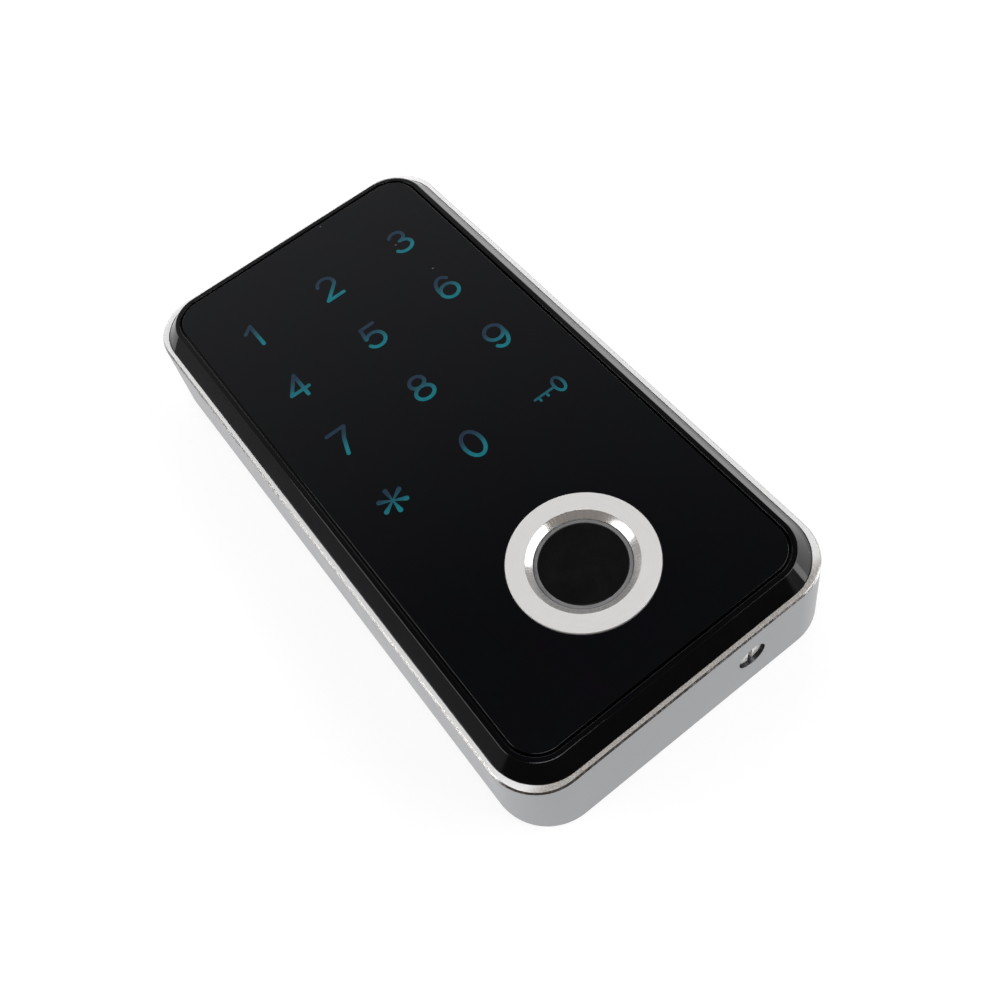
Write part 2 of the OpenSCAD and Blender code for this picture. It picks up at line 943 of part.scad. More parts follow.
module wall_plate() {
  gap = 0.5;
  width = rear_room_w - 2 * gap;
  length = rear_room_l - 2 * gap;
  tongue_back = 4;
  color("lightgray")
    difference() {
      union() {
        slab(width, length, rear_room_r - gap, 0, plate_t);
        translate([screw_x - tab_w / 2, tab_y, 0])
          cube([tab_w, tab_t, screw_z + tab_above_screw]);
        for (s = [-1, 1])
          translate([s * tongue_x - tongue_w / 2, length / 2 - tongue_back, plate_t - small])
            cube([tongue_w, tongue_back, tongue_z - plate_t + tongue_t + small]);
        for (s = [-1, 1])
          translate([s * tongue_x - tongue_w / 2, length / 2 - small, tongue_z])
            cube([tongue_w, rear_room_l / 2 - length / 2 + tongue_reach, tongue_t]);
      }
      box_at(0, 0, -over, [cable_w, cable_l, plate_t + 2 * over]);
      for (pitch = [wall_pitch_small, wall_pitch_large], s = [-1, 1])
        drill(0, s * pitch / 2, -over, plate_t + over, wall_hole_r);
      translate([screw_x, tab_y - over, screw_z])
        rotate([-90, 0, 0])
          cylinder(h = tab_t + 2 * over, r = screw_shank_r + screw_run);
    }
}

module security_screw() {
  slot_w = 0.8;
  slot_d = 0.9;
  seat_y = screw_seat_y - washer_t;
  top_y = seat_y - head_t;
  color("silver")
    translate([screw_x, 0, screw_z])
      difference() {
        rotate([-90, 0, 0]) {
          translate([0, 0, top_y + head_edge])
            cylinder(h = head_t - head_edge, r = head_r);
          translate([0, 0, top_y])
            cylinder(h = head_edge, r1 = head_r - head_edge, r2 = head_r);
          translate([0, 0, seat_y - small])
            cylinder(h = shank_len + small, r = screw_shank_r);
        }
        translate([-slot_w / 2, top_y - over, -head_r - over])
          cube([slot_w, over + slot_d, 2 * (head_r + over)]);
      }
}

module screw_washer() {
  inset = 0.1;
  color([0.1, 0.1, 0.1])
    translate([screw_x, screw_seat_y - washer_t, screw_z])
      rotate([-90, 0, 0])
        tube(head_r - inset, screw_shank_r + screw_run, 0, washer_t);
}

housing();
front_bezel();
touch_lens();
lens_adhesive();
key_legends();
light_diffuser();
touch_pcb();
key_leds();
touch_controller();
sensor_ring();
sensor_gasket();
sensor_nut();
sensor_frame();
sensor_window();
sensor_chip();
sensor_board();
sensor_connector();
sensor_ribbon();
main_pcb();
processor();
flash_memory();
regulator();
crystal();
relay();
buzzer();
capacitors();
ribbon_socket();
board_header();
header_pins();
terminal_block();
terminal_screws();
tamper_switch();
tamper_plunger();
reset_switch();
reset_button();
rear_cover();
rear_gasket();
cover_screws();
pcb_screws();
bezel_screws();
wall_plate();
security_screw();
screw_washer();
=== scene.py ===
import json
import math

import bmesh
import bpy
from mathutils import Matrix, Vector


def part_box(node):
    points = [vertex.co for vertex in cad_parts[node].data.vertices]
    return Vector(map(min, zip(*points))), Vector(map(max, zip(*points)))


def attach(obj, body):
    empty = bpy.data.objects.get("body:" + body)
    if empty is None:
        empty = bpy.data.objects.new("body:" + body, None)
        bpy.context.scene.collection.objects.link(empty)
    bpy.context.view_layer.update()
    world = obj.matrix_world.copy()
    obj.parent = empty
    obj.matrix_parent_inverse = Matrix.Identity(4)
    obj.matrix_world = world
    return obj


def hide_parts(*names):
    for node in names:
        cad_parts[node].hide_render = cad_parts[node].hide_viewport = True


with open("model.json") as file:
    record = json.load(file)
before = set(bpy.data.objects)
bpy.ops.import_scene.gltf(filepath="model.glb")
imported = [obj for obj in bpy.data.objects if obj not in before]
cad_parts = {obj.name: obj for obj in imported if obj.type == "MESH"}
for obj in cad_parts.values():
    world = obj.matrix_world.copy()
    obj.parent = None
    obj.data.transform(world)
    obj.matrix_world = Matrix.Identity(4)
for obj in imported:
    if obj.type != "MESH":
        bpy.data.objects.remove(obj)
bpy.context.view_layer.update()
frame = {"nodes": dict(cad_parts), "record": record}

# The looks of a wall-mounted fingerprint terminal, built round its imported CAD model.
# Lengths in the modelling functions are millimetres; meshes are written in metres.

MM = 0.001
# Segments in each corner of a rounded rectangle, and round a turned piece.
CORNER_STEPS = 20
ROUND_STEPS = 160
# Edges that turn by more than SHARP_ANGLE stay crisp; faces within FLAT_ANGLE merge.
SHARP_ANGLE = math.radians(32)
FLAT_ANGLE = math.radians(0.2)
# Points closer than this, in metres, are one point.
MERGE_DISTANCE = 1e-7
# A profile's point nearer its axis than this lies on it.
AXIS_RADIUS = 1e-6
# How far a cutting tool runs past the surface that it cuts.
OVER = 1.0
# Keeps two faces from lying in one plane.
STEP = 0.01


def node_box(name):
    """Lowest and highest corners of a CAD node, in millimetres."""
    low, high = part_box(name)
    return low / MM, high / MM


# ---------------------------------------------------------------- outlines and sweeps


def outline(half_w, half_l, radius, centre_y=0.0):
    """A rounded rectangle, anticlockwise, with the same number of points at any size."""
    points = []
    for sx, sy, start in ((1, 1, 0), (-1, 1, 90), (-1, -1, 180), (1, -1, 270)):
        cx = sx * (half_w - radius)
        cy = centre_y + sy * (half_l - radius)
        for i in range(CORNER_STEPS + 1):
            a = math.radians(start + 90 * i / CORNER_STEPS)
            points.append((cx + radius * math.cos(a), cy + radius * math.sin(a)))
    return points


def soften(path, plane, closed=False, steps=4):
    """Rounds the corners of a path of vectors, each given as (values, fillet radius).

    The fillets are worked out in the two values that plane names, and the other
    values follow them.
    """
    result = []
    count = len(path)
    for i, (here, radius) in enumerate(path):
        inner = closed or 0 < i < count - 1
        if not radius or not inner:
            result.append(tuple(here))
            continue
        before, after = path[i - 1][0], path[(i + 1) % count][0]
        p, a, b = (Vector([v[k] for k in plane]) for v in (here, before, after))
        u, v = (a - p).normalized(), (b - p).normalized()
        half = math.acos(max(-1.0, min(1.0, u.dot(v)))) / 2
        centre = p + (u + v).normalized() * (radius / math.sin(half))
        reach = radius / math.tan(half)
        first, last = p + u * reach - centre, p + v * reach - centre
        start = math.atan2(first.y, first.x)
        sweep = (math.atan2(last.y, last.x) - start + math.pi) % (2 * math.pi) - math.pi
        across = u.x * v.y - u.y * v.x
        for k in range(steps + 1):
            angle = start + sweep * k / steps
            d = centre + radius * Vector((math.cos(angle), math.sin(angle))) - p
            to_a = (d.x * v.y - d.y * v.x) / across / (a - p).length
            to_b = (u.x * d.y - u.y * d.x) / across / (b - p).length
            result.append(tuple(h + to_a * (x - h) + to_b * (y - h)
                                for h, x, y in zip(here, before, after)))
    return result


def new_object(name, bm):
    """Makes a scene object of a finished bmesh."""
    bmesh.ops.recalc_face_normals(bm, faces=bm.faces)
    mesh = bpy.data.meshes.new(name)
    bm.to_mesh(mesh)
    bm.free()
    obj = bpy.data.objects.new(name, mesh)
    bpy.context.scene.collection.objects.link(obj)
    return obj


def join_loops(bm, loops, closed):
    """Faces from each loop of points to the next; a closed set also joins last to first."""
    pairs = list(zip(loops, loops[1:]))
    if closed:
        pairs.append((loops[-1], loops[0]))
    for a, b in pairs:
        count = len(a)
        for i in range(count):
            j = (i + 1) % count
            bm.faces.new((a[i], a[j], b[j], b[i]))


def skin(name, rings, closed=False):
    """A solid through rounded rectangles (half width, half length, radius, centre y, z)."""
    bm = bmesh.new()
    loops = []
    for half_w, half_l, radius, centre_y, z in rings:
        points = outline(half_w, half_l, radius, centre_y)
        loops.append([bm.verts.new((x * MM, y * MM, z * MM)) for x, y in points])
    join_loops(bm, loops, closed)
    if not closed:
        bm.faces.new(loops[0])
        bm.faces.new(loops[-1])
    return new_object(name, bm)


def ring_path(rings, closed=False, steps=4):
    """Rings with a fillet at the end of each entry, softened in width and height."""
    return soften([(r[:5], r[5]) for r in rings], (0, 4), closed, steps)


def revolve(name, profile, place, closed=True, steps=4, count=ROUND_STEPS):
    """A turned solid from (radius, height, fillet) points; place is a 4 x 4 matrix in mm."""
    path = soften([(p[:2], p[2]) for p in profile], (0, 1), closed, steps)
    bm = bmesh.new()
    loops = []
    tips = {}
    for k, (r, z) in enumerate(path):
        if r < AXIS_RADIUS:
            tips[k] = bm.verts.new((0, 0, z * MM))
            loops.append(None)
            continue
        loops.append([bm.verts.new((r * math.cos(a) * MM, r * math.sin(a) * MM, z * MM))
                      for a in (2 * math.pi * i / count for i in range(count))])
    spans = list(range(len(path) - 1)) + ([len(path) - 1] if closed else [])
    for k in spans:
        m = (k + 1) % len(path)
        if loops[k] and loops[m]:
            join_loops(bm, [loops[k], loops[m]], False)
        elif loops[k] or loops[m]:
            ring, tip = (loops[k], tips[m]) if loops[k] else (loops[m], tips[k])
            for i in range(count):
                bm.faces.new((ring[i], ring[(i + 1) % count], tip))
    obj = new_object(name, bm)
    placed = place.copy()
    placed.translation *= MM
    obj.data.transform(placed)
    return obj


def prism(name, points, low, high):
    """A straight solid from a list of (x, y) points."""
    bm = bmesh.new()
    loops = [[bm.verts.new((x * MM, y * MM, z * MM)) for x, y in points] for z in (low, high)]
    join_loops(bm, loops, False)
    bm.faces.new(loops[0])
    bm.faces.new(loops[1])
    return new_object(name, bm)


def block(name, low, high):
    """A box between two corners."""
    corners = [(low[0], low[1]), (high[0], low[1]), (high[0], high[1]), (low[0], high[1])]
    return prism(name, corners, low[2], high[2])


def rod(name, x, y, low, high, radius, count=64):
    """An upright round bar."""
    circle = [(x + radius * math.cos(a), y + radius * math.sin(a))
              for a in (2 * math.pi * i / count for i in range(count))]
    return prism(name, circle, low, high)


def along_y(x, z):
    """Turns a solid's own z axis to +y, at the given x and z."""
    return Matrix.Translation((x, 0, z)) @ Matrix.Rotation(-math.pi / 2, 4, "X")


def combine(target, tool, operation):
    """Applies an exact boolean and removes the tool."""
    modifier = target.modifiers.new("combine", "BOOLEAN")
    modifier.operation = operation
    modifier.solver = "EXACT"
    modifier.object = tool
    depsgraph = bpy.context.evaluated_depsgraph_get()
    mesh = bpy.data.meshes.new_from_object(target.evaluated_get(depsgraph))
    target.modifiers.remove(modifier)
    old = target.data
    target.data = mesh
    mesh.name = target.name
    bpy.data.meshes.remove(old)
    bpy.data.objects.remove(tool)


def cut(target, *tools):
    """Takes each tool away from the target."""
    for tool in tools:
        combine(target, tool, "DIFFERENCE")


def add(target, *tools):
    """Joins each tool to the target."""
    for tool in tools:
        combine(target, tool, "UNION")


def round_edges(obj, radius, where, steps=3):
    """Rounds the sharp edges whose both ends pass the test, in millimetres."""
    bm = bmesh.new()
    bm.from_mesh(obj.data)
    bmesh.ops.remove_doubles(bm, verts=bm.verts, dist=MERGE_DISTANCE)
    bmesh.ops.dissolve_limit(bm, angle_limit=FLAT_ANGLE, verts=bm.verts, edges=bm.edges)
    edges = [e for e in bm.edges
             if len(e.link_faces) == 2 and e.calc_face_angle(0) > SHARP_ANGLE
             and all(where(v.co / MM) for v in e.verts)]
    bmesh.ops.bevel(bm, geom=edges, offset=radius * MM, segments=steps, profile=0.5,
                    affect="EDGES", clamp_overlap=True)
    bmesh.ops.recalc_face_normals(bm, faces=bm.faces)
    bm.to_mesh(obj.data)
    bm.free()


def smooth(obj):
    """Smooth shading with kept sharp edges and flat faces that stay flat."""
    for polygon in obj.data.polygons:
        polygon.use_smooth = True
    obj.data.set_sharp_from_angle(angle=SHARP_ANGLE)
    weighted = obj.modifiers.new("weighted", "WEIGHTED_NORMAL")
    weighted.keep_sharp = True
    weighted.mode = "FACE_AREA"


def finish_piece(obj, body, nodes, materials, choose=None):
    """Gives a piece its materials and its body, and hides the CAD nodes that it stands for."""
    smooth(obj)
    obj.data.materials.clear()
    for material in materials:
        obj.data.materials.append(material)
    for polygon in obj.data.polygons:
        polygon.material_index = choose(polygon) if choose else 0
    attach(obj, body)
    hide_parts(*nodes)


# ---------------------------------------------------------------- materials


# A noise keeps nearly all its values between these.
NOISE_LOW, NOISE_HIGH = 0.3, 0.7
# How softly a scratch's edge fades, as a share of the noise.
SCRATCH_EDGE = 0.02


class Tree:
    """The node tree of a material or a world, with short ways to add its nodes."""

    def __init__(self, owner):
        owner.use_nodes = True
        self.nodes = owner.node_tree.nodes
        self.links = owner.node_tree.links

    def link(self, source, target):
        self.links.new(source, target)

    def math(self, operation, a, b=0.0):
        """A sum of one or two values, each a number or a socket."""
        node = self.nodes.new("ShaderNodeMath")
        node.operation = operation
        for socket, value in zip(node.inputs, (a, b)):
            if isinstance(value, (int, float)):
                socket.default_value = value
            else:
                self.link(value, socket)
        return node.outputs[0]

    def span(self, source, low, high, to_low=0.0, to_high=1.0, smooth_step=False):
        """Maps low to high onto to_low to to_high, and holds both ends."""
        node = self.nodes.new("ShaderNodeMapRange")
        node.clamp = True
        if smooth_step:
            node.interpolation_type = "SMOOTHSTEP"
        for name, value in (("From Min", low), ("From Max", high),
                            ("To Min", to_low), ("To Max", to_high)):
            node.inputs[name].default_value = value
        self.link(source, node.inputs["Value"])
        return node.outputs[0]

    def ease(self, source, low, high):
        """Goes from 0 at low to 1 at high, with soft ends."""
        return self.span(source, low, high, smooth_step=True)

    def blend(self, factor, a, b):
        """Mixes two colours, each a tuple or a socket."""
        node = self.nodes.new("ShaderNodeMix")
        node.data_type = "RGBA"
        self.link(factor, node.inputs[0])
        for socket, value in ((node.inputs[6], a), (node.inputs[7], b)):
            if isinstance(value, tuple):
                socket.default_value = (*value, 1)
            else:
                self.link(value, socket)
        return node.outputs[2]


class Look(Tree):
    """A node material on one Principled shader, with its own patterns in object space."""

    def __init__(self, name, colour, metallic=0.0, roughness=0.4, **sockets):
        self.material = bpy.data.materials.new(name)
        super().__init__(self.material)
        self.shader = self.nodes["Principled BSDF"]
        self.shader.inputs["Base Color"].default_value = (*colour, 1)
        self.shader.inputs["Metallic"].default_value = metallic
        self.shader.inputs["Roughness"].default_value = roughness
        for socket, value in sockets.items():
            self.shader.inputs[socket.replace("_", " ")].default_value = value
        self.coords = self.nodes.new("ShaderNodeTexCoord").outputs["Object"]
        self.bump_end = None

    def axis(self, index):
        """One object coordinate, in metres."""
        node = self.nodes.new("ShaderNodeSeparateXYZ")
        self.link(self.coords, node.inputs[0])
        return node.outputs[index]

    def stretched(self, scale, offset=(0, 0, 0)):
        """Object coordinates scaled along each axis, which draws a pattern out."""
        node = self.nodes.new("ShaderNodeMapping")
        node.inputs["Scale"].default_value = scale
        node.inputs["Location"].default_value = offset
        self.link(self.coords, node.inputs["Vector"])
        return node.outputs[0]

    def noise(self, size, detail=3.0, rough=0.55, distortion=0.0, coords=None):
        """Cloudy pattern; size is its grain in millimetres."""
        node = self.nodes.new("ShaderNodeTexNoise")
        node.inputs["Scale"].default_value = 1.0 / (size * MM)
        node.inputs["Detail"].default_value = detail
        node.inputs["Roughness"].default_value = rough
        node.inputs["Distortion"].default_value = distortion
        self.link(coords or self.coords, node.inputs["Vector"])
        return node.outputs[0]

    def cells(self, size, output="Distance"):
        """Scattered cells; size is their spacing in millimetres."""
        node = self.nodes.new("ShaderNodeTexVoronoi")
        node.inputs["Scale"].default_value = 1.0 / (size * MM)
        self.link(self.coords, node.inputs["Vector"])
        return node.outputs[output]

    def drift(self, noise, low=0.0, high=1.0):
        """Spreads a noise from low to high."""
        return self.span(noise, NOISE_LOW, NOISE_HIGH, low, high)

    def colour(self, source):
        self.link(source, self.shader.inputs["Base Color"])

    def roughness(self, source):
        self.link(source, self.shader.inputs["Roughness"])

    def bump(self, height, depth):
        """Adds relief; depth is the height of one unit, in millimetres."""
        node = self.nodes.new("ShaderNodeBump")
        node.inputs["Distance"].default_value = depth * MM
        self.link(height, node.inputs["Height"])
        if self.bump_end is not None:
            self.link(self.bump_end, node.inputs["Normal"])
        self.bump_end = node.outputs[0]
        self.link(self.bump_end, self.shader.inputs["Normal"])

    def scratches(self, size, share, stretch=(1, 14, 14)):
        """Mask of hairline scratches along x."""
        lines = self.noise(size, 2.0, 0.5, 0.4, self.stretched(stretch))
        return self.span(lines, 1 - share, 1 - share + SCRATCH_EDGE)


def mixed(look, colour_a, colour_b, size, rough_a, rough_b, bump_size, bump_depth):
    """Colour and roughness that drift together, with a fine relief."""
    cloud = look.noise(size, 4.0, 0.6)
    look.colour(look.blend(look.drift(cloud), colour_a, colour_b))
    look.roughness(look.drift(cloud, rough_a, rough_b))
    look.bump(look.noise(bump_size, 3.0, 0.6), bump_depth)
    return look


def satin_case():
    """Satin chrome on a zinc casting, with a few handling marks."""
    look = Look("case_satin", (0.285, 0.29, 0.302), 1.0, 0.34)
    cloud = look.noise(9.0, 4.0, 0.6)
    grain = look.noise(0.12, 2.0, 0.6)
    look.colour(look.blend(look.drift(cloud), (0.27, 0.275, 0.287), (0.3, 0.305, 0.317)))
    base = look.drift(cloud, 0.3, 0.37)
    wear = look.math("MULTIPLY", look.scratches(6.0, 0.3), -0.06)
    look.roughness(look.math("ADD", look.math("ADD", base, wear),
                             look.drift(grain, -0.02, 0.02)))
    look.bump(grain, 0.0016)
    look.bump(look.noise(3.0, 2.0, 0.5), 0.004)
    return look.material


def satin_rim():
    """Flat rim: pale, with short tool marks that sparkle, and a painted darker, browner
    reflection at the lower end.
    """
    look = Look("rim_satin", (0.95, 0.945, 0.94), 0.12, 0.42)
    marks = look.noise(0.13, 3.0, 0.7, 0.3)
    grain = look.span(marks, 0.36, 0.62)
    pale = look.blend(grain, (0.9, 0.895, 0.89), (0.99, 0.985, 0.98))
    # Painted reflection: the darker, browner tone towards the lower end stands in for a darker
    # reflection there; only its grain is the metal's own.
    painted_dark_end = look.blend(grain, (0.26, 0.24, 0.22), (0.66, 0.63, 0.6))
    painted_dark_to, pale_from = 2.2 - BASE_L, 4.5 - BASE_L
    along = look.ease(look.axis(1), painted_dark_to * MM, pale_from * MM)
    look.colour(look.blend(along, painted_dark_end, pale))
    look.roughness(look.drift(look.noise(0.5, 3.0, 0.6), 0.36, 0.48))
    look.bump(marks, 0.006)
    return look.material


def cut_chamfer():
    """Diamond-cut chamfer: bright, with fine cross marks."""
    look = Look("rim_cut", (0.74, 0.73, 0.72), 1.0, 0.16)
    marks = look.noise(0.13, 3.0, 0.7, 0.3)
    look.colour(look.blend(look.span(marks, 0.35, 0.65), (0.42, 0.4, 0.385), (0.74, 0.725, 0.71)))
    look.roughness(look.drift(look.noise(0.5, 3.0, 0.6), 0.12, 0.3))
    look.bump(marks, 0.008)
    return look.material


def piano_black(name, warm, cool, peel):
    """Gloss black moulding: slight orange peel, hairlines and a rare speck of dust."""
    look = Look(name, warm, 0.0, 0.05, IOR=1.5)
    cloud = look.noise(7.0, 4.0, 0.65)
    specks = look.cells(3.1)
    chance = look.noise(7.3, 1.0, 0.5, coords=look.stretched((1, 1, 1), (0.31, 0.17, 0.05)))
    dust = look.math("MULTIPLY", look.span(specks, 0.05, 0.035), look.span(chance, 0.68, 0.7))
    tint = look.blend(look.span(cloud, 0.35, 0.65), warm, cool)
    look.colour(look.blend(dust, tint, (0.09, 0.095, 0.1)))
    hair = look.scratches(9.0, 0.28, (1, 10, 10))
    smear = look.span(look.noise(14.0, 5.0, 0.7, 0.6), 0.35, 0.7, 0.035, 0.075)
    look.roughness(look.math("ADD", smear, look.math("MULTIPLY", hair, 0.03)))
    look.bump(look.noise(1.6, 2.0, 0.5), peel)
    look.bump(dust, 0.01)
    return look.material


def turned(name, colour, rough, pitch, depth, polished=False):
    """Lathe-turned metal: fine rings about the sensor's axis, and streaks if polished."""
    sway, slant = 0.0004, 0.08
    look = Look(name, colour, 0.78 if polished else 0.22, rough)
    x = look.axis(0)
    y = look.math("SUBTRACT", look.axis(1), SENSOR_Y * MM)
    radius = look.math("SQRT", look.math("ADD", look.math("MULTIPLY", x, x),
                                         look.math("MULTIPLY", y, y)))
    angle = look.math("ARCTAN2", y, x)
    polar = look.nodes.new("ShaderNodeCombineXYZ")
    look.link(radius, polar.inputs[0])
    look.link(look.math("MULTIPLY", angle, sway), polar.inputs[1])
    look.link(look.axis(2), polar.inputs[2])
    rings = look.noise(pitch, 3.0, 0.7, coords=polar.outputs[0])
    cloud = look.noise(3.0, 4.0, 0.6)
    if polished:
        across = look.nodes.new("ShaderNodeCombineXYZ")
        look.link(look.math("MULTIPLY", angle, RING_FACE_R * MM), across.inputs[0])
        look.link(look.math("MULTIPLY", radius, slant), across.inputs[1])
        streak = look.noise(0.35, 3.0, 0.75, coords=across.outputs[0])
        low = tuple(c * 0.78 for c in colour)
        look.colour(look.blend(look.drift(streak), low, colour))
        look.roughness(look.drift(streak, rough * 0.7, rough * 1.5))
        look.bump(streak, depth * 3)
    else:
        low = tuple(c * 0.93 for c in colour)
        look.colour(look.blend(look.drift(rings), low, colour))
        look.roughness(look.drift(cloud, rough * 0.97, rough * 1.03))
    look.bump(rings, depth)
    return look.material


def moulded(name, colour, rough, grain=0.09, depth=0.006, size=5.0):
    """Moulded plastic with a fine texture."""
    look = Look(name, colour, 0.0, rough)
    light = tuple(min(1.0, c * 1.16 + 0.002) for c in colour)
    dark = tuple(c * 0.86 for c in colour)
    return mixed(look, dark, light, size, rough * 0.9, rough * 1.12, grain, depth).material


def metal(name, colour, rough, grain=0.15, depth=0.004, size=2.0):
    """Plated metal with slight clouding."""
    look = Look(name, colour, 1.0, rough)
    light = tuple(min(1.0, c * 1.08) for c in colour)
    dark = tuple(c * 0.86 for c in colour)
    return mixed(look, dark, light, size, rough * 0.8, rough * 1.25, grain, depth).material


def lit_legend():
    """Legends lit from behind: a dim grey-blue top edge and a brighter teal foot."""
    look = Look("legend_glow", (0.006, 0.03, 0.034), 0.0, 0.1, IOR=1.45)
    down = look.math("SUBTRACT", KEY_TOP_Y * MM, look.axis(1))
    row = look.math("DIVIDE", down, KEY_PITCH * MM)
    within = look.math("SUBTRACT", row, look.math("ROUND", row))
    fade_from, fade_to = -0.14, 0.17
    fall = look.ease(within, fade_from, fade_to)
    patch = look.drift(look.noise(1.3, 3.0, 0.6), 0.78, 1.12)
    colour = look.blend(fall, (0.008, 0.018, 0.036), (0.004, 0.13, 0.16))
    look.colour(look.blend(fall, (0.008, 0.014, 0.02), (0.005, 0.03, 0.034)))
    look.link(colour, look.shader.inputs["Emission Color"])
    look.link(patch, look.shader.inputs["Emission Strength"])
    look.roughness(look.drift(look.noise(0.4, 2.0, 0.5), 0.07, 0.13))
    return look.material


def circuit_board():
    """Green solder mask over copper tracks, with plated holes."""
    look = Look("circuit_board", (0.02, 0.16, 0.06), 0.0, 0.3, IOR=1.5)
    tracks = look.nodes.new("ShaderNodeTexBrick")
    tracks.inputs["Scale"].default_value = 1.0
    tracks.inputs["Brick Width"].default_value = 5.2 * MM
    tracks.inputs["Row Height"].default_value = 1.1 * MM
    tracks.inputs["Mortar Size"].default_value = 0.12 * MM
    look.link(look.coords, tracks.inputs["Vector"])
    copper = tracks.outputs["Fac"]
    weave = look.noise(0.6, 3.0, 0.6)
    mask = look.blend(look.drift(weave), (0.012, 0.115, 0.045), (0.02, 0.15, 0.06))
    holes = look.span(look.cells(2.6), 0.1, 0.085)
    look.colour(look.blend(holes, look.blend(copper, mask, (0.035, 0.23, 0.08)),
                           (0.55, 0.5, 0.4)))
    look.roughness(look.drift(weave, 0.24, 0.36))
    look.bump(copper, 0.03)
    look.bump(look.math("MULTIPLY", holes, -1.0), 0.05)
    return look.material


def zinc_sheet():
    """Zinc-plated sheet steel with faint spangle and rolling marks."""
    look = Look("plate_zinc", (0.55, 0.56, 0.57), 1.0, 0.36)
    grey = look.nodes.new("ShaderNodeRGBToBW")
    look.link(look.cells(2.4, "Color"), grey.inputs[0])
    rolled = look.noise(0.3, 2.0, 0.5, coords=look.stretched((1, 0.06, 1)))
    look.colour(look.blend(look.span(grey.outputs[0], 0.2, 0.8),
                           (0.5, 0.515, 0.535), (0.62, 0.62, 0.625)))
    base = look.span(grey.outputs[0], 0.2, 0.8, 0.3, 0.42)
    look.roughness(look.math("ADD", base, look.drift(rolled, -0.03, 0.03)))
    look.bump(rolled, 0.003)
    return look.material


def frame_materials():
    """One material for each slot of the CAD nodes that stay as they are."""
    return {
        "adhesive_foam": moulded("adhesive_foam", (0.05, 0.05, 0.05), 0.75, 0.2, 0.03),
        "diffuser_white": moulded("diffuser_white", (0.8, 0.82, 0.83), 0.5, 0.3, 0.003),
        "circuit_board": circuit_board(),
        "led_package": moulded("led_package", (0.75, 0.74, 0.58), 0.35, 0.2, 0.003, 1.0),
        "chip_black": moulded("chip_black", (0.025, 0.025, 0.028), 0.5, 0.06, 0.006, 2.0),
        "seal_rubber": moulded("seal_rubber", (0.03, 0.03, 0.03), 0.6, 0.12, 0.01),
        "nut_metal": metal("nut_metal", (0.6, 0.58, 0.5), 0.28),
        "connector_ivory": moulded("connector_ivory", (0.74, 0.7, 0.58), 0.42),
        "ribbon_film": moulded("ribbon_film", (0.5, 0.25, 0.07), 0.25, 0.4, 0.003, 2.0),
        "can_metal": metal("can_metal", (0.7, 0.7, 0.7), 0.22),
        "relay_blue": moulded("relay_blue", (0.03, 0.1, 0.3), 0.35),
        "plastic_black": moulded("plastic_black", (0.03, 0.03, 0.032), 0.45),
        "capacitor_sleeve": moulded("capacitor_sleeve", (0.03, 0.04, 0.12), 0.25, 0.5, 0.004),
        "pin_gold": metal("pin_gold", (0.8, 0.6, 0.25), 0.2, 0.1, 0.002, 0.6),
        "terminal_green": moulded("terminal_green", (0.035, 0.23, 0.09), 0.38),
        "screw_steel": metal("screw_steel", (0.55, 0.55, 0.56), 0.26, 0.12, 0.004, 0.8),
        "plunger_white": moulded("plunger_white", (0.78, 0.78, 0.75), 0.4, 0.2, 0.003),
        "button_red": moulded("button_red", (0.48, 0.035, 0.025), 0.38, 0.2, 0.003),
    }


# ---------------------------------------------------------------- pieces

# Play between the case and the bezel, and of a pilot hole round its screw's thread.
FIT = 0.05
PILOT_R, PILOT_PLAY = 1.0, 0.02
# The case's walls lean in by this much from foot to rim.
WALL_LEAN = 0.7
RIM_CHAMFER = 0.3
# The bezel's slope and the flat ledge between it and the lens, as seen from above.
BEVEL_RUN = 2.2
LEDGE = 0.85
# The security screw's counterbore and clearance hole.
COUNTERBORE_R, CLEARANCE_R = 2.5, 1.55
# Where the turned ring's flat face meets its polished chamfer.
RING_FACE_R = 8.7
# The tongues' places across the plate, and the rounding of sheet and moulded edges.
TONGUE_X = 14.0
SOFT_EDGE = 0.12
# The key legends' top row and the distance between rows.
KEY_TOP_Y, KEY_PITCH = 39.0, 15.0

_, house_high = node_box("housing")
_, bezel_high = node_box("front_bezel")
lens_low, lens_high = node_box("touch_lens")
ring_low, ring_high = node_box("sensor_ring")
frame_low, frame_high = node_box("sensor_frame")
disc_low, disc_high = node_box("sensor_window")
screw_low, screw_high = node_box("security_screw")
washer_low, washer_high = node_box("screw_washer")
plate_low, plate_high = node_box("wall_plate")
cover_low, cover_high = node_box("rear_cover")
touch_low, touch_high = node_box("touch_pcb")

BASE_W, BASE_L = house_high.x, house_high.y
BASE_R = 9.2
RIM_Z = house_high.z
RIM_R = BASE_R - WALL_LEAN
BEZEL_W, BEZEL_L = bezel_high.x, bezel_high.y
BEZEL_SEAT_Z = RIM_Z - 2.0
FRONT_Z = bezel_high.z
SENSOR_Y = (ring_low.y + ring_high.y) / 2
SCREW_X = (screw_low.x + screw_high.x) / 2
SCREW_Z = (screw_low.z + screw_high.z) / 2
SENSOR_PLACE = Matrix.Translation((0, SENSOR_Y, 0))
SIDE_WALL = 3.0
REAR_WALL = 2.2
WALL_INSIDE_Y = -BASE_L + 4.4
BULKHEAD_Y = -49.5
REAR_LEDGE_Z = 5.8
TAB_TOP = 12.0
BEZEL_SCREWS = [(sx * 24.2, y) for y in (25, -18) for sx in (-1, 1)]
COVER_SCREWS = [(sx * 23.5, y) for y in (51.5, -45.2) for sx in (-1, 1)]
BOARD_SCREWS = [(sx * 18.5, y) for y in (43, -37.5) for sx in (-1, 1)]


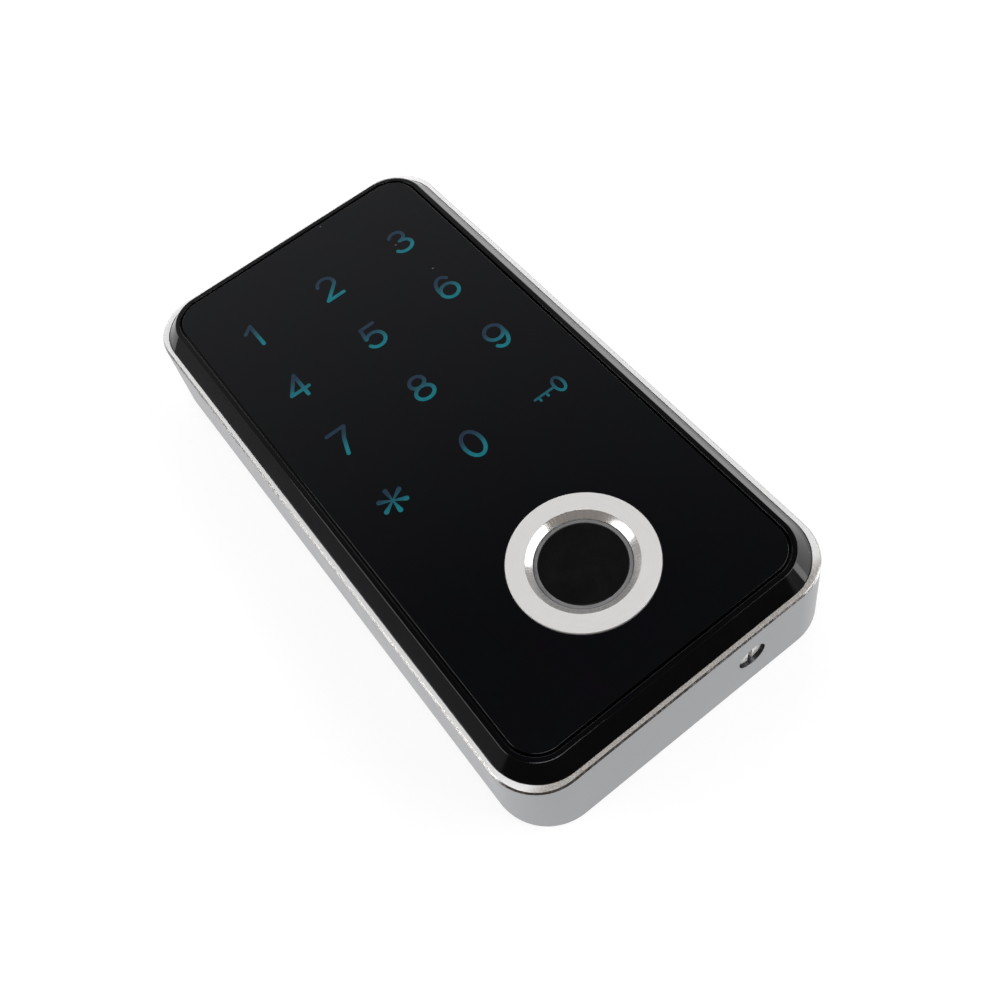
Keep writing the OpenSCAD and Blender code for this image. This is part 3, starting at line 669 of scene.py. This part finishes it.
def screw_bore():
    """Tool that cuts the security screw's counterbore and clearance hole."""
    seat_y, mouth, end = washer_high.y, -BASE_L - OVER, WALL_INSIDE_Y + OVER
    profile = [(0, mouth, 0), (COUNTERBORE_R, mouth, 0), (COUNTERBORE_R, seat_y, 0.1),
               (CLEARANCE_R, seat_y, 0), (CLEARANCE_R, end, 0), (0, end, 0)]
    return revolve("bore", profile, along_y(SCREW_X, SCREW_Z), count=96)


def case_shell():
    """The metal case: one sweep for its walls, rim and ledges, then its fixing points."""
    room_y1, room_w = BASE_L - SIDE_WALL, BASE_W - SIDE_WALL
    room_l, room_y = (room_y1 - BULKHEAD_Y) / 2, (room_y1 + BULKHEAD_Y) / 2
    room_r = BASE_R - SIDE_WALL
    rear_w, rear_l, rear_r = BASE_W - REAR_WALL, BASE_L - REAR_WALL, BASE_R - REAR_WALL
    top_w, top_l = BASE_W - WALL_LEAN, BASE_L - WALL_LEAN
    chamfer_z = RIM_Z - RIM_CHAMFER
    well_w, well_l, well_r = BEZEL_W + FIT, BEZEL_L + FIT, RIM_R
    rings = [
        (BASE_W, BASE_L, BASE_R, 0, 0, 0.25),
        (top_w, top_l, RIM_R, 0, chamfer_z, 0.04),
        (top_w - RIM_CHAMFER, top_l - RIM_CHAMFER, RIM_R - RIM_CHAMFER, 0, RIM_Z, 0.05),
        (well_w, well_l, well_r, 0, RIM_Z, 0.05),
        (well_w, well_l, well_r, 0, BEZEL_SEAT_Z, 0.1),
        (room_w, room_l, room_r, room_y, BEZEL_SEAT_Z, 0.1),
        (room_w, room_l, room_r, room_y, REAR_LEDGE_Z, 0.1),
        (rear_w, rear_l, rear_r, 0, REAR_LEDGE_Z, 0.1),
        (rear_w, rear_l, rear_r, 0, 0, 0.15),
    ]
    obj = skin("case_shell", ring_path(rings, closed=True), closed=True)
    in_wall = room_w + 0.4
    lug_r, lug_z, pilot_top = 3.2, 5.2, 10.0
    for x, y in COVER_SCREWS:
        reach = math.copysign(in_wall, x)
        add(obj, block("tie", (min(x, reach), y - lug_r + STEP, REAR_LEDGE_Z),
                       (max(x, reach), y + lug_r - STEP, TAB_TOP)))
        add(obj, rod("lug", x, y, lug_z, TAB_TOP, lug_r))
        cut(obj, rod("pilot", x, y, lug_z - OVER, pilot_top, PILOT_R + PILOT_PLAY))
    tab_z, depth, hole_play = 10.0, 6.0, 0.1
    for x, y in BEZEL_SCREWS:
        inner, reach = math.copysign(room_w - depth, x), math.copysign(in_wall, x)
        add(obj, block("tab", (min(inner, reach), y - depth / 2, tab_z),
                       (max(inner, reach), y + depth / 2, TAB_TOP)))
        cut(obj, rod("hole", x, y, tab_z - OVER, TAB_TOP + OVER, PILOT_R + hole_play))
    lock_w, bulkhead = 16.0, 1.5
    cut(obj, block("screw_room", (SCREW_X - lock_w / 2, WALL_INSIDE_Y, REAR_LEDGE_Z - OVER),
                   (SCREW_X + lock_w / 2, BULKHEAD_Y - bulkhead, BEZEL_SEAT_Z - OVER)))
    pocket_half, pocket_depth, pocket_z, pocket_top = 4.15, 1.15, 1.15, 2.65
    for s in (-1, 1):
        x = s * TONGUE_X
        cut(obj, block("pocket", (x - pocket_half, rear_l - OVER, pocket_z),
                       (x + pocket_half, rear_l + pocket_depth, pocket_top)))
    cut(obj, screw_bore())

    mouth_r, mouth_depth, mouth_round = COUNTERBORE_R + 0.2, WALL_LEAN + 0.1, 0.06

    def mouth(p):
        return (p.y < -BASE_L + mouth_depth
                and math.hypot(p.x - SCREW_X, p.z - SCREW_Z) < mouth_r)

    round_edges(obj, mouth_round, mouth)
    # The counterbore's faces get a near-black metal: painted shade in the recess round the screw
    # head, where the case metal is really the same satin chrome.
    shell, rim, chamfer, bore = range(4)
    bore_r, margin, upright, level, across = COUNTERBORE_R + 0.02, 0.05, 0.25, 0.92, 0.5

    def choose(polygon):
        centre = polygon.center / MM
        from_axis = math.hypot(centre.x - SCREW_X, centre.z - SCREW_Z)
        # The end wall's own face has its centre near the bore, but it faces along y.
        in_bore = abs(polygon.normal.y) < across or centre.y > screw_low.y
        if from_axis < bore_r and in_bore and centre.y < washer_high.y + OVER:
            return bore
        if centre.z < chamfer_z - margin or polygon.normal.z < upright:
            return shell
        return rim if polygon.normal.z > level else chamfer

    finish_piece(obj, "terminal", ["housing"],
                 [satin_case(), satin_rim(), cut_chamfer(),
                  metal("bore_painted_shade", (0.07, 0.07, 0.075), 0.32)], choose)


def bezel_frame():
    """The gloss black bezel: skirt, sloping edge, ledge and lens pocket."""
    skirt, floor_drop, glue = 2.0, 0.5, 0.2
    radius, floor_z, pocket_z = RIM_R, RIM_Z - floor_drop, lens_low.z - glue
    inset = BEVEL_RUN + LEDGE
    slope_w, slope_l, slope_r = BEZEL_W - BEVEL_RUN, BEZEL_L - BEVEL_RUN, radius - BEVEL_RUN
    pocket_w, pocket_l, pocket_r = BEZEL_W - inset, BEZEL_L - inset, radius - inset
    rings = [
        (BEZEL_W - skirt, BEZEL_L - skirt, radius - skirt, 0, floor_z, 0),
        (BEZEL_W - skirt, BEZEL_L - skirt, radius - skirt, 0, BEZEL_SEAT_Z, 0.08),
        (BEZEL_W, BEZEL_L, radius, 0, BEZEL_SEAT_Z, 0.08),
        (BEZEL_W, BEZEL_L, radius, 0, RIM_Z, 0.12),
        (slope_w, slope_l, slope_r, 0, FRONT_Z, 0.16),
        (pocket_w, pocket_l, pocket_r, 0, FRONT_Z, 0.07),
        (pocket_w, pocket_l, pocket_r, 0, pocket_z, 0),
    ]
    obj = skin("bezel_frame", ring_path(rings, steps=5))
    touch_y = (touch_low.y + touch_high.y) / 2
    play, window_r, neck_r = 0.3, 1.5, 9.6
    window_w, window_l = touch_high.x + play, (touch_high.y - touch_low.y) / 2 + play
    window = skin("window", [(window_w, window_l, window_r, touch_y, z)
                             for z in (floor_z - OVER, FRONT_Z)])
    cut(obj, window, rod("neck", 0, SENSOR_Y, floor_z - OVER, FRONT_Z, neck_r, 96))
    boss_r, pilot_depth = 2.2, 0.5
    for x, y in BEZEL_SCREWS:
        add(obj, rod("boss", x, y, TAB_TOP + STEP, floor_z + STEP, boss_r))
        cut(obj, rod("pilot", x, y, TAB_TOP - OVER, floor_z + pilot_depth,
                     PILOT_R + PILOT_PLAY))
    finish_piece(obj, "terminal", ["front_bezel"],
                 [piano_black("bezel_gloss", (0.0009, 0.0009, 0.0013), (0.0016, 0.0016, 0.002),
                              0.0012)])


def lens_panel():
    """The flat gloss lens with its stepped hole for the sensor ring."""
    gap, inward, edge = 0.45, 1, 0.08
    half_w, half_l, radius = lens_high.x, lens_high.y, RIM_R - BEVEL_RUN - LEDGE - gap
    seat_z, through_r, seat_r = 17.4, 9.5, 11.85
    body = [(half_w - edge, half_l - edge, radius - edge, 0, lens_low.z, 0),
            (half_w, half_l, radius, 0, lens_low.z + edge, 0),
            (half_w, half_l, radius, 0, FRONT_Z, edge),
            (half_w - inward, half_l - inward, radius - inward, 0, FRONT_Z, 0)]
    # The last ring only turns the fillet before it, and the face spans that fillet.
    obj = skin("lens_panel", ring_path(body, steps=5)[:-1])
    flare = 0.06
    profile = [(0, lens_low.z - OVER, 0), (through_r, lens_low.z - OVER, 0),
               (through_r, seat_z, 0), (seat_r, seat_z, 0), (seat_r, FRONT_Z - flare, 0),
               (seat_r + flare, FRONT_Z, 0), (seat_r + flare, FRONT_Z + OVER, 0),
               (0, FRONT_Z + OVER, 0)]
    cut(obj, revolve("hole", profile, SENSOR_PLACE))
    finish_piece(obj, "terminal", ["touch_lens"],
                 [piano_black("lens_gloss", (0.0024, 0.0017, 0.003), (0.0015, 0.0024, 0.0024),
                              0.0006)])


def finger_ring():
    """The turned metal ring with its polished inner chamfer."""
    outer, flange_z, neck, bore = ring_high.x, 17.6, 9.4, 7.6
    top, bottom = ring_high.z, ring_low.z
    chamfer_z, margin = 17.45, 0.05
    profile = [
        (bore, bottom, 0.05), (neck, bottom, 0.15), (neck, flange_z, 0.05),
        (outer, flange_z, 0.05), (outer, top, 0.14), (RING_FACE_R, top, 0.05),
        (bore, chamfer_z, 0.05),
    ]
    obj = revolve("finger_ring", profile, SENSOR_PLACE, steps=5, count=224)

    def choose(polygon):
        centre = polygon.center / MM
        radius = math.hypot(centre.x, centre.y - SENSOR_Y)
        return 1 if radius < RING_FACE_R + margin and centre.z > chamfer_z - margin else 0

    face = turned("ring_turned", (0.73, 0.722, 0.71), 0.52, 0.07, 0.0022)
    polish = turned("ring_polish", (0.7, 0.685, 0.67), 0.17, 0.12, 0.0012, True)
    finish_piece(obj, "terminal", ["sensor_ring"], [face, polish], choose)


def window_frame():
    """The grey carrier round the sensing disc, open for the chip below it."""
    outer, top, bottom = frame_high.x, frame_high.z, frame_low.z
    seat_r, shelf_z, shelf_r, lower_r = 6.93, disc_low.z, 6.45, 6.9
    chip_low, _ = node_box("sensor_chip")
    profile = [
        (lower_r, bottom, 0.05), (outer, bottom, 0.1), (outer, top, 0.26), (seat_r, top, 0.12),
        (seat_r, shelf_z, 0.05), (shelf_r, shelf_z, 0.05), (shelf_r, chip_low.z, 0.05),
        (lower_r, chip_low.z, 0.05),
    ]
    obj = revolve("window_frame", profile, SENSOR_PLACE)
    finish_piece(obj, "terminal", ["sensor_frame"],
                 [moulded("frame_grey", (0.17, 0.17, 0.175), 0.4, 0.07, 0.006, 2.5)])


def sensing_disc():
    """The black sensing disc with a soft edge."""
    radius, top, bottom = disc_high.x, disc_high.z, disc_low.z
    profile = [(0, bottom, 0), (radius, bottom, 0.05), (radius, top, 0.14), (0, top, 0)]
    obj = revolve("sensing_disc", profile, SENSOR_PLACE, closed=False, steps=5)
    look = Look("window_black", (0.003, 0.0028, 0.003), 0.0, 0.3, IOR=1.3)
    grain = look.noise(0.08, 2.0, 0.6)
    smear = look.noise(5.0, 5.0, 0.7, 0.8)
    look.colour(look.blend(look.drift(grain), (0.0022, 0.002, 0.0022),
                           (0.0036, 0.0033, 0.0034)))
    look.roughness(look.drift(smear, 0.22, 0.3))
    look.bump(grain, 0.0025)
    finish_piece(obj, "terminal", ["sensor_window"], [look.material])


def lock_screw():
    """The slotted security screw: a turned head, and a shank with a rolled thread."""
    head_r, shank_r = screw_high.x - SCREW_X, 1.5
    top_y, tip_y, seat_y = screw_low.y, screw_high.y, washer_low.y
    pitch, crest, root = 0.5, 0.05, 0.26
    runout, plain_end, tip_run, tip_step = 0.3, 0.8, 0.2, 0.25
    profile = [(0, top_y, 0), (head_r, top_y, 0.38), (head_r, seat_y, 0.1),
               (shank_r - root, seat_y, 0)]
    turns = int((tip_y - seat_y - plain_end) / pitch)
    for i in range(turns):
        y = seat_y + runout + i * pitch
        profile += [(shank_r - root, y, 0), (shank_r, y + pitch / 2 - crest, 0),
                    (shank_r, y + pitch / 2 + crest, 0)]
    end = seat_y + runout + turns * pitch
    profile += [(shank_r - root, end, 0), (shank_r - root, tip_y - tip_run, 0.1),
                (shank_r - root - tip_step, tip_y, 0), (0, tip_y, 0)]
    obj = revolve("lock_screw", profile, along_y(SCREW_X, SCREW_Z), closed=False, count=96)
    slot_w, slot_d, margin, slot_round = 0.8, 0.9, 0.02, 0.06
    cut(obj, block("slot", (SCREW_X - slot_w / 2, top_y - OVER, SCREW_Z - head_r - OVER),
                   (SCREW_X + slot_w / 2, top_y + slot_d, SCREW_Z + head_r + OVER)))

    def slot_edge(p):
        return p.y < top_y + margin and abs(abs(p.x - SCREW_X) - slot_w / 2) < margin

    round_edges(obj, slot_round, slot_edge, 2)
    look = Look("screw_bright", (0.9, 0.895, 0.88), 0.4, 0.2)
    mixed(look, (0.84, 0.83, 0.81), (0.95, 0.945, 0.93), 1.1, 0.15, 0.28, 0.12, 0.004)
    finish_piece(obj, "security_screw", ["security_screw"], [look.material])


def lock_washer(material):
    """The rubber washer under the screw's head."""
    outer, inner = washer_high.x - SCREW_X, CLEARANCE_R
    low, high = washer_low.y, washer_high.y
    profile = [(inner, low, 0.06), (outer, low, 0.12), (outer, high, 0.12), (inner, high, 0.06)]
    obj = revolve("lock_washer", profile, along_y(SCREW_X, SCREW_Z), count=96)
    finish_piece(obj, "screw_washer", ["screw_washer"], [material])


def back_plate():
    """The sheet-steel wall plate with its window, holes, lock tab and tongues."""
    half_w, thick, radius = plate_high.x, 1.2, 6.5
    half_l = -plate_low.y
    edge = 0.15
    rings = [(half_w - edge, half_l - edge, radius - edge, 0, 0),
             (half_w, half_l, radius, 0, edge),
             (half_w, half_l, radius, 0, thick - edge),
             (half_w - edge, half_l - edge, radius - edge, 0, thick)]
    obj = skin("back_plate", rings)
    sunk = 0.3
    tab_w, tab_y, tab_t = 9.0, -54.2, 1.5
    add(obj, block("tab", (SCREW_X - tab_w / 2, tab_y, sunk),
                   (SCREW_X + tab_w / 2, tab_y + tab_t, plate_high.z)))
    tongue_w, tongue_z, tongue_t, back = 8.0, 1.3, 1.2, 4.0
    for s in (-1, 1):
        x = s * TONGUE_X
        add(obj, block("foot", (x - tongue_w / 2, half_l - back, thick - sunk),
                       (x + tongue_w / 2, half_l, tongue_z + tongue_t)))
        add(obj, block("tongue", (x - tongue_w / 2, half_l - sunk, tongue_z),
                       (x + tongue_w / 2, plate_high.y, tongue_z + tongue_t)))
    window, window_r = 12, 1.0
    cut(obj, skin("window", [(window, window, window_r, 0, z) for z in (-OVER, thick + OVER)]))
    hole_r, near_holes, far_holes = 2.1, 30, 41.65
    for y in (near_holes, far_holes):
        for s in (-1, 1):
            cut(obj, rod("hole", 0, s * y, -OVER, thick + OVER, hole_r))
    front, rear = tab_y - OVER, tab_y + tab_t + OVER
    clear = [(0, front, 0), (CLEARANCE_R, front, 0), (CLEARANCE_R, rear, 0), (0, rear, 0)]
    cut(obj, revolve("clear", clear, along_y(SCREW_X, SCREW_Z), count=64))

    margin, holes_end, tab_start, above = 0.1, 46, -52, 0.2

    def window_or_hole(p):
        return (abs(p.x) < window + margin and abs(p.y) < holes_end
                and p.z < thick + margin)

    def tab_edge(p):
        return abs(p.x - SCREW_X) < tab_w and p.y < tab_start and p.z > thick + above

    round_edges(obj, SOFT_EDGE, window_or_hole, 2)
    round_edges(obj, SOFT_EDGE, tab_edge, 2)
    finish_piece(obj, "terminal", ["wall_plate"], [zinc_sheet()])


def back_cover():
    """The moulded rear cover with posts, cable window and screw holes."""
    gap, thick, edge = 0.2, 1.6, 0.15
    half_w, half_l, radius = cover_high.x, cover_high.y, BASE_R - REAR_WALL - gap
    low, top = cover_low.z, cover_low.z + thick
    rings = [(half_w - edge, half_l - edge, radius - edge, 0, low),
             (half_w, half_l, radius, 0, low + edge),
             (half_w, half_l, radius, 0, top - edge),
             (half_w - edge, half_l - edge, radius - edge, 0, top)]
    obj = skin("back_cover", rings)
    post_r, post_foot, pilot_foot, hole_play = 2.5, 0.3, 0.6, 0.2
    for x, y in BOARD_SCREWS:
        add(obj, rod("post", x, y, low + post_foot, cover_high.z, post_r))
        cut(obj, rod("pilot", x, y, low + pilot_foot, cover_high.z + OVER,
                     PILOT_R + PILOT_PLAY))
    for x, y in COVER_SCREWS:
        cut(obj, rod("hole", x, y, low - OVER, top + OVER, PILOT_R + hole_play))
    switch_x, switch_y, switch_hole_r = 15, 24, 1.6
    for s in (-1, 1):
        cut(obj, rod("hole", s * switch_x, switch_y, low - OVER, top + OVER, switch_hole_r))
    window_w, window_l, notch_w, notch_y = 13.5, 12, 5.1, -52.1
    cut(obj, block("window", (-window_w, -window_l, low - OVER),
                   (window_w, window_l, top + OVER)))
    cut(obj, block("notch", (SCREW_X - notch_w, -BASE_L, low - OVER),
                   (SCREW_X + notch_w, notch_y, top + OVER)))

    inside_w, inside_l, margin = 26, 53.5, 0.1

    def openings(p):
        return abs(p.x) < inside_w and abs(p.y) < inside_l and p.z < low + margin

    round_edges(obj, SOFT_EDGE, openings, 2)
    finish_piece(obj, "terminal", ["rear_cover"],
                 [moulded("cover_plastic", (0.035, 0.035, 0.038), 0.55, 0.16, 0.03, 6.0)])


# ---------------------------------------------------------------- build


def dress_cad_nodes(materials):
    """Gives every CAD node that stays its own procedural material."""
    slots = {s["node"]: s["material_slot"] for s in frame["record"]["subparts"]}
    for name, obj in frame["nodes"].items():
        if slots[name] not in materials:
            continue
        obj.data.materials.clear()
        obj.data.materials.append(materials[slots[name]])


materials = frame_materials()
materials["legend_glow"] = lit_legend()
dress_cad_nodes(materials)
case_shell()
bezel_frame()
lens_panel()
finger_ring()
window_frame()
sensing_disc()
lock_screw()
lock_washer(materials["seal_rubber"])
back_plate()
back_cover()


# ---------------------------------------------------------------- stage, light, camera

# The floor's sides and level, in metres, and how brightly it glows.
FLOOR_LEFT, FLOOR_RIGHT = -0.15, 1.2
FLOOR_NEAR, FLOOR_FAR = -0.18, 0.6
FLOOR_Z = -0.00002
FLOOR_GLOW = 0.77
# What the object reflects, by height; the viewer's side is darker and warmer low down.
ROOM_BELOW = (0.22, 0.22, 0.23)
ROOM_LOW = (0.4, 0.4, 0.4)
ROOM_MIDDLE = (0.3, 0.305, 0.315)
ROOM_TOP = (0.045, 0.045, 0.05)
VIEWER_LOW = (0.055, 0.048, 0.044)
VIEWER_HIGH = (0.22, 0.195, 0.175)
# Each light's name, azimuth and elevation in degrees, width and height in metres, radiance.
LIGHTS = (
    ("softbox_right", 53.5, 31, 0.95, 0.5, 3.6),
    ("softbox_left", -110, 22, 0.59, 0.5, 4.2),
    ("softbox_above", -23, 84, 0.3, 0.3, 9.0),
    ("strip_right", 52, 1, 0.35, 0.16, 2.4),
    ("strip_far", 160, 30, 1.6, 0.28, 3.0),
)
LIGHT_DISTANCE = 1.0
# The camera's lens and sensor, where it looks from, what it looks at, and its roll.
LENS, SENSOR_WIDTH, CLIP_START = 39.02, 36.0, 0.01
CAMERA_AZIMUTH, CAMERA_ELEVATION, CAMERA_DISTANCE = -22.95, 58.94, 169.04
CAMERA_AIM = Vector((-3.05, -17.35, FRONT_Z))
CAMERA_ROLL = -16.1


def floor():
    """A pale, plain floor that glows faintly, as an overexposed sweep does."""
    bm = bmesh.new()
    corners = ((FLOOR_LEFT, FLOOR_NEAR), (FLOOR_RIGHT, FLOOR_NEAR),
               (FLOOR_RIGHT, FLOOR_FAR), (FLOOR_LEFT, FLOOR_FAR))
    bm.faces.new([bm.verts.new((x, y, FLOOR_Z)) for x, y in corners])
    obj = new_object("floor", bm)
    look = Look("floor_white", (0.28, 0.28, 0.28), 0.0, 0.7)
    tone = look.noise(40.0, 3.0, 0.5)
    look.colour(look.blend(look.drift(tone), (0.27, 0.27, 0.27), (0.29, 0.29, 0.29)))
    look.shader.inputs["Emission Color"].default_value = (1, 1, 1, 1)
    look.shader.inputs["Emission Strength"].default_value = FLOOR_GLOW
    obj.data.materials.append(look.material)


def direction(azimuth, elevation):
    """Azimuth from -y towards +x, in degrees."""
    a, e = math.radians(azimuth), math.radians(elevation)
    return Vector((math.sin(a) * math.cos(e), -math.cos(a) * math.cos(e), math.sin(e)))


def softbox(name, azimuth, elevation, width, height, radiance):
    """A rectangular area light facing the object."""
    data = bpy.data.lights.new(name, "AREA")
    data.shape = "RECTANGLE"
    data.size, data.size_y = width, height
    data.energy = radiance * math.pi * data.size * data.size_y
    obj = bpy.data.objects.new(name, data)
    bpy.context.scene.collection.objects.link(obj)
    place = direction(azimuth, elevation) * LIGHT_DISTANCE
    obj.location = place
    obj.rotation_euler = (-place).to_track_quat("-Z", "Y").to_euler()


def studio_world():
    """A dim room: grey low down, darker overhead, dark on the viewer's side, and white to
    the camera."""
    world = bpy.data.worlds.new("studio")
    bpy.context.scene.world = world
    tree = Tree(world)
    tree.nodes.clear()
    coords = tree.nodes.new("ShaderNodeTexCoord").outputs["Generated"]
    split = tree.nodes.new("ShaderNodeSeparateXYZ")
    tree.link(coords, split.inputs[0])
    x, y, z = split.outputs
    degrees = 180 / math.pi
    azimuth = tree.math("ARCTAN2", x, tree.math("MULTIPLY", y, -1.0))
    azimuth = tree.math("MULTIPLY", azimuth, degrees)
    elevation = tree.math("MULTIPLY", tree.math("ARCSINE", z), degrees)
    # Each pair of degrees is a band over which one tone passes into the next.
    high = tree.blend(tree.ease(elevation, 37, 67), ROOM_MIDDLE, ROOM_TOP)
    room = tree.blend(tree.ease(elevation, 5, 45), ROOM_LOW, high)
    room = tree.blend(tree.ease(elevation, 0, 8), ROOM_BELOW, room)
    facing = tree.math("MULTIPLY", tree.ease(azimuth, -96, -88), tree.ease(azimuth, 30, 20))
    dark = tree.blend(tree.ease(elevation, 20, 34), VIEWER_LOW, VIEWER_HIGH)
    facing = tree.math("MULTIPLY", facing, tree.ease(elevation, 62, 48))
    room = tree.blend(facing, room, dark)
    seen = tree.nodes.new("ShaderNodeLightPath").outputs["Is Camera Ray"]
    background = tree.nodes.new("ShaderNodeBackground")
    tree.link(tree.blend(seen, room, (1.0, 1.0, 1.0)), background.inputs["Color"])
    output = tree.nodes.new("ShaderNodeOutputWorld")
    tree.link(background.outputs[0], output.inputs["Surface"])


def camera():
    """The camera, looking down from the lower left."""
    data = bpy.data.cameras.new("camera")
    data.sensor_width = SENSOR_WIDTH
    data.lens = LENS
    data.clip_start = CLIP_START
    obj = bpy.data.objects.new("camera", data)
    bpy.context.scene.collection.objects.link(obj)
    back = direction(CAMERA_AZIMUTH, CAMERA_ELEVATION)
    obj.location = CAMERA_AIM * MM + back * CAMERA_DISTANCE * MM
    turn = (-back).to_track_quat("-Z", "Y").to_matrix().to_4x4()
    turn = turn @ Matrix.Rotation(math.radians(CAMERA_ROLL), 4, "Z")
    obj.rotation_euler = turn.to_euler()
    bpy.context.scene.camera = obj


bpy.context.scene.view_settings.view_transform = "Standard"
floor()
for light in LIGHTS:
    softbox(*light)
studio_world()
camera()
